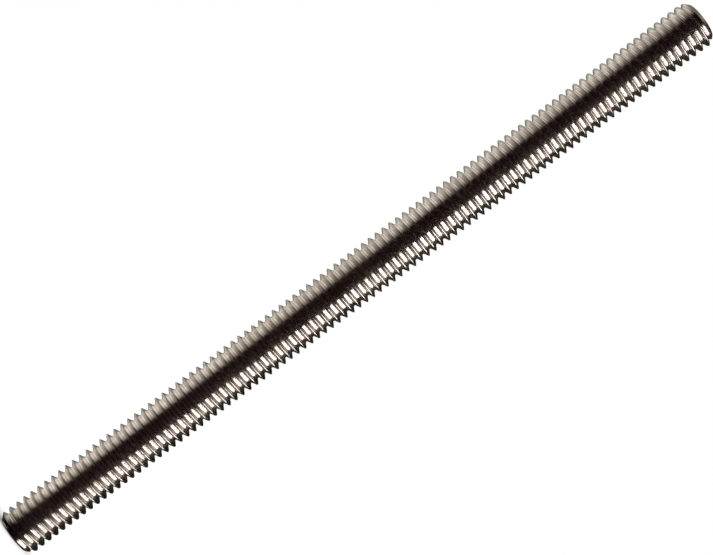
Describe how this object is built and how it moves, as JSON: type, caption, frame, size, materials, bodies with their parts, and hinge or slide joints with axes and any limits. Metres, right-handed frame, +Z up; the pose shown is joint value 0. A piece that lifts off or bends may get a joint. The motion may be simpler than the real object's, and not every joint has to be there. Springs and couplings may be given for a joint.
{
  "type": "threaded rod",
  "caption": "Straight fully threaded steel rod with a metric thread over its whole length and a small chamfer at each square-cut end.",
  "frame": {"origin": "middle of the lower end face, on the rod's axis", "axes": "+Z up along the rod's axis, towards the upper end; +X and +Y are across the rod and are equal to each other"},
  "size_m": [0.006, 0.006, 0.1],
  "materials": {
    "bright_steel": "bright rolled steel, slightly warm, with burnished flanks, duller crests, light stains in the roots and faced ends"
  },
  "bodies": {
    "root": {"rod": "bright_steel"}
  },
  "joints": []
}
